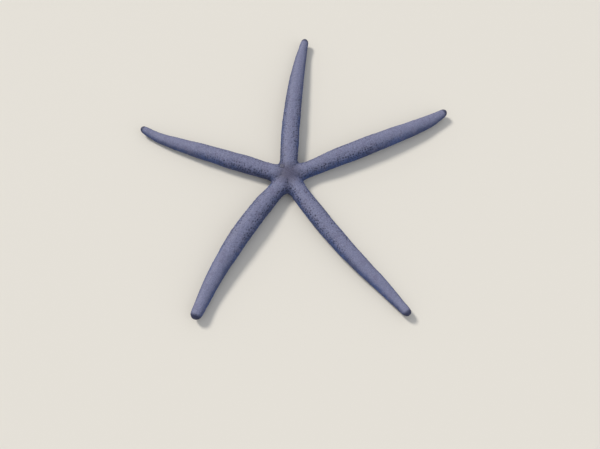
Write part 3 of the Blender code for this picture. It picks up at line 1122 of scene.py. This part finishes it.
# %% The feet
STRAW_YELLOWS = ((0.42, 0.35, 0.20, 1.0), (0.58, 0.53, 0.40, 1.0))
foot = small_model(7, foot=0.85, top=0.72, low=-0.10, high=0.30, steps=(
    (0.22, 0.86), (0.22, 0.98), (0.10, 1.50), (0.08, 1.12), (0.06, 0.80), (-0.03, 0.60)), point_rise=-0.03)
foot_finish, tree, shader = start_finish("tube_foot_finish", 0.34, 0.5)
shader["Subsurface Weight"].default_value = 0.15
shader["Subsurface Radius"].default_value = (0.0010, 0.0007, 0.0004)
feed(shader["Base Color"],
     mix_colours(tree, spread(tree, cloudy(tree, 700.0, 3.0), 0.35, 0.65), *STRAW_YELLOWS))
add_bump(tree, shader, cloudy(tree, 4200.0, 2.0), 0.03 * MM)
FOOT_ROWS = ((0.056, 1.40 * MM, FIRST_STATION, 0.40 * MM, 0.40 * MM, 2.6 * MM, -0.06, 0.05 * MM),)
for letter in LETTERS:
    hand_in(make_rows("tube_feet", letter, foot, FOOT_ROWS), foot_finish, "tube_feet")

# %% [markdown]
# ## The mouth
#
# The five grooves meet at the mouth, a wrinkled ring of soft skin with a small round opening. A ring
# (torus) flattened to less than half its height gives the two rounded lips, and moving its points in and
# out by angle gives the wrinkles. Between the grooves, fans of blunt pegs guard it.

# %% The mouth's finish
LIP_BROWNS = ((0.20, 0.13, 0.12, 1.0), (0.34, 0.26, 0.20, 1.0))
WRINKLE_PAINTED_SHADE_DARK = (0.08, 0.05, 0.06, 1.0)

mouth_finish, tree, shader = start_finish("mouth_finish", 0.38, 0.5)
lips = mix_colours(tree, spread(tree, cloudy(tree, 600.0, 4.0), 0.35, 0.65), *LIP_BROWNS)
# Darker in the troughs of the wrinkles: painted shade in the creases.
feed(shader["Base Color"],
     mix_colours(tree, spread(tree, read_mark(tree, "wrinkle"), 0.2, -0.9, 0.0, 0.7), lips, WRINKLE_PAINTED_SHADE_DARK))
add_grain(tree, shader, 0.5, 0.03 * MM)
print("finish:", mouth_finish.name)

# %% The mouth
LIP_MIDDLE = 2.05 * MM
LIP_WIDTH = 1.30 * MM
LIP_FLATNESS = 0.42
LIP_HEIGHT = 2.45 * MM
WRINKLES = 25
WRINKLE_DEPTH = 0.10 * MM

bpy.ops.object.select_all(action="DESELECT")
bpy.ops.mesh.primitive_torus_add(major_radius=LIP_MIDDLE, minor_radius=LIP_WIDTH, major_segments=150,
                                 minor_segments=28, location=(*centre, LIP_HEIGHT))
bpy.ops.transform.resize(value=(1.0, 1.0, LIP_FLATNESS))
mouth = just_added("mouth")
away = points_of(mouth)[:, :2] - centre
spoke = np.hypot(away[:, 0], away[:, 1])
angle = np.arctan2(away[:, 1], away[:, 0])
inner = ease((LIP_MIDDLE + LIP_WIDTH - spoke) / (1.6 * LIP_WIDTH))
wrinkle = np.cos(WRINKLES * angle + 1.2 * np.sin(3.0 * angle) + 0.6 * np.sin(7.0 * angle)) * inner
move_points(mouth, points_of(mouth) + normals_of(mouth) * (WRINKLE_DEPTH * wrinkle)[:, None])
store_marks(mouth, {"wrinkle": wrinkle})
hand_in(mouth, mouth_finish, "skin")

# %% The fans of pegs round the mouth
FAN_ROOT = 4.55 * MM
FAN_RINGS = (                  # each is (pegs, root's distance, height, length, radius)
    (7, FAN_ROOT, 0.95 * MM, 1.55 * MM, 0.26 * MM),
    (6, FAN_ROOT + 0.85 * MM, 0.62 * MM, 0.75 * MM, 0.32 * MM))
FAN_SPREAD = 0.80 * 0.62       # share of the angle between two arms that a fan takes
FAN_TURN = 0.35                # how much the outer pegs of a fan turn, in radians from side to side

arm_angles = sorted(math.atan2(*arm["course"][8][::-1]) for arm in arms.values())
arm_angles.append(arm_angles[0] + 2.0 * math.pi)
copies = []
for order, (first, last) in enumerate(zip(arm_angles, arm_angles[1:])):
    middle = (first + last) / 2.0
    for ring, (pegs, root, height, length, radius) in enumerate(FAN_RINGS):
        for step in range(pegs):
            share = (step + 0.5) / pegs - 0.5
            turned = middle + share * FAN_SPREAD * (last - first)
            towards = middle + share * FAN_TURN
            copies.append((
                (*(centre + root * np.array((math.cos(turned), math.sin(turned)))), height),
                (-math.cos(towards), -math.sin(towards), -0.35 + 0.10 * dice.normal()),
                (radius, radius * 0.8, length * dice.uniform(0.9, 1.1)), dice.uniform(0.0, math.pi),
                ((order + 0.5 + 0.8 * share) / 5.0, 0.3 + 0.4 * ring)))
*parts, flat = zip(*copies)
marks = {"pore": 0.0, "ridge": 0.3, "reach": 0.06, "under": 0.7, "tint": dice.uniform(0.3, 0.9, len(copies))}
hand_in(joined_copies("mouth_pegs", peg, *parts, marks, flat), granule_material, "skin")

# %% [markdown]
# ## Eye spots
#
# Under each tip plate sits the arm's only eye, a red cushion of a few dozen light-sensing cups. An
# icosphere is squashed to a cushion, and its cups are raised by the same helper that made the bumps on the
# tip plates.

# %% Eye spots
EYE_SIZE = (0.52 * MM, 0.44 * MM, 0.34 * MM)
EYE_REDS = ((0.42, 0.040, 0.015, 1.0), (0.12, 0.012, 0.018, 1.0))
CUPS = 60
CUP_RADIUS = 0.10 * MM
CUP_HEIGHT = 0.04 * MM

eye_finish, tree, shader = start_finish("eye_finish", 0.30, 0.5)
feed(shader["Base Color"], mix_colours(tree, spread(tree, cells(tree, 5200.0), 0.15, 0.6), *EYE_REDS))
for letter, arm in arms.items():
    plate_points = points_of(bpy.data.objects["terminal_plate_" + letter])
    near_end = plate_points @ np.array((*arm["course"][-1], 0.0))
    band = plate_points[near_end > near_end.max() - 2.6 * MM]
    lowest = band[band[:, 2] < band[:, 2].min() + 0.5 * MM].mean(axis=0)
    bpy.ops.object.select_all(action="DESELECT")
    bpy.ops.mesh.primitive_ico_sphere_add(subdivisions=5, radius=1.0, location=lowest)
    bpy.ops.transform.resize(value=EYE_SIZE)
    eye = just_added("eye_spot_" + letter)
    move_points(eye, raise_bumps(eye, CUPS, CUP_RADIUS, CUP_HEIGHT))
    hand_in(eye, eye_finish, "skin")

# %% [markdown]
# ## The boxes
#
# The box round the visual model is printed, as the solids' box was at the start.

# %% Boxes and the end
visual_bounds = [list(corner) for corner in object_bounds()]
print("the visual box:", [[round(value / MM, 1) for value in corner] for corner in visual_bounds], "mm")
